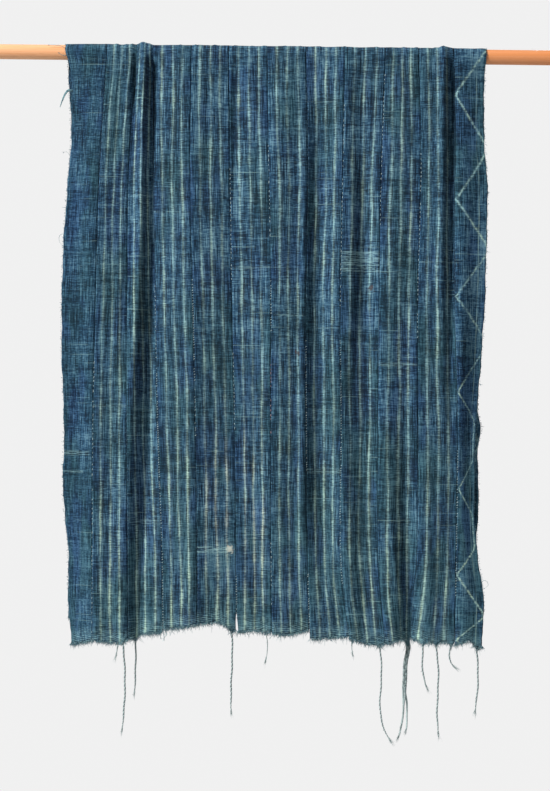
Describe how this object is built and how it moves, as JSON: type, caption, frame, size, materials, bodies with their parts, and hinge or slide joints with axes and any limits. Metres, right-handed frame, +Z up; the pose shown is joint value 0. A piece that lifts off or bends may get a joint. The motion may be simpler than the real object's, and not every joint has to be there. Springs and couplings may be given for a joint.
{
  "type": "cotton throw on a wooden rod",
  "caption": "Indigo cotton throw of narrow woven strips sewn edge to edge, hung doubled over a round wooden rod, with pale dyed stripes, frayed hems and loose warp ends.",
  "frame": {"origin": "the middle of the rod's axis", "axes": "+X along the rod towards the picture's right, +Z up, -Y towards the viewer; the throw's front half hangs on the -Y side"},
  "size_m": [1, 0.047, 1.1786],
  "materials": {
    "wood": "smooth, lightly waxed",
    "cotton": "matt hand-woven cotton, indigo dyed with pale resist stripes",
    "yarn": "matt twisted cotton yarn"
  },
  "bodies": {
    "root": {"rod": "wood", "strip_01": "cotton", "strip_02": "cotton", "strip_03": "cotton", "strip_04": "cotton", "strip_05": "cotton", "strip_06": "cotton", "strip_07": "cotton", "strip_08": "cotton", "strip_09": "cotton", "strip_10": "cotton", "strip_11": "cotton", "strip_12": "cotton", "fringe_02": "yarn", "fringe_03": "yarn", "fringe_05": "yarn", "fringe_06": "yarn", "fringe_09": "yarn", "fringe_10": "yarn", "fringe_11": "yarn", "fringe_12": "yarn"}
  },
  "joints": []
}
